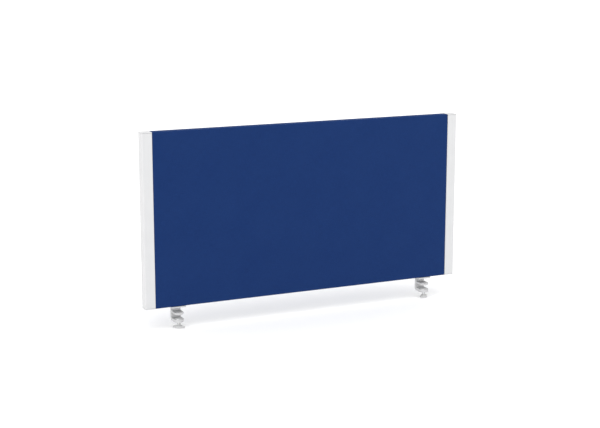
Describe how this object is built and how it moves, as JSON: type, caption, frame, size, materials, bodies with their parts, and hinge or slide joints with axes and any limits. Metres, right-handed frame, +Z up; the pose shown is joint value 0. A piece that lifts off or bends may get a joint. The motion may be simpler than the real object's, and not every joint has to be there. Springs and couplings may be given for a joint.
{
  "type": "desk privacy panel",
  "caption": "Straight upholstered desk screen with a white trim at each end, held over a desk edge by screw clamps with winged knobs.",
  "frame": {"origin": "middle of the bounding box's underside: under the middle of the board, level with the undersides of the clamps' knobs", "axes": "+X along the board, -Y towards the person at the desk, which is the side the clamps open to, +Z up"},
  "size_m": [0.8, 0.036, 0.451],
  "materials": {
    "fabric": "matte",
    "foam": "matte",
    "core": "matte",
    "trim": "satin",
    "plastic": "satin",
    "knob": "satin",
    "casting": "satin",
    "rubber": "matte",
    "steel": "satin"
  },
  "bodies": {
    "screen": {"core_board": "core", "foam_front": "foam", "foam_back": "foam", "fabric_cover": "fabric", "left_trim": "trim", "left_trim_strip": "trim", "left_trim_cap_top": "plastic", "left_trim_cap_bottom": "plastic", "left_trim_screw_1": "steel", "left_trim_screw_2": "steel", "left_trim_screw_3": "steel", "left_clamp_frame": "casting", "left_foot_screw_1": "steel", "left_foot_screw_2": "steel", "left_jaw_pad": "rubber", "left_thread_bush": "steel", "right_trim": "trim", "right_trim_strip": "trim", "right_trim_cap_top": "plastic", "right_trim_cap_bottom": "plastic", "right_trim_screw_1": "steel", "right_trim_screw_2": "steel", "right_trim_screw_3": "steel", "right_clamp_frame": "casting", "right_foot_screw_1": "steel", "right_foot_screw_2": "steel", "right_jaw_pad": "rubber", "right_thread_bush": "steel"},
    "left_pad": {"left_pressure_disc": "steel", "left_disc_pad": "rubber"},
    "left_screw": {"left_spindle": "steel", "left_knob": "knob"},
    "right_pad": {"right_pressure_disc": "steel", "right_disc_pad": "rubber"},
    "right_screw": {"right_spindle": "steel", "right_knob": "knob"}
  },
  "joints": [
    {"name": "left_pad_travel", "type": "slide", "parent": "screen", "child": "left_pad", "axis": [0, 0, 1], "range_m": [0, 0.0075]},
    {"name": "left_screw_turn", "type": "hinge", "parent": "left_pad", "child": "left_screw", "pos_m": [-0.32, -0.007, 0], "axis": [0, 0, 1], "range_deg": [0, 2160]},
    {"name": "right_pad_travel", "type": "slide", "parent": "screen", "child": "right_pad", "axis": [0, 0, 1], "range_m": [0, 0.0075]},
    {"name": "right_screw_turn", "type": "hinge", "parent": "right_pad", "child": "right_screw", "pos_m": [0.32, -0.007, 0], "axis": [0, 0, 1], "range_deg": [0, 2160]}
  ],
  "couplings": [
    {"joint": "left_pad_travel", "follows": "left_screw_turn", "m_per_rad": 0.00019894},
    {"joint": "right_pad_travel", "follows": "right_screw_turn", "m_per_rad": 0.00019894}
  ]
}
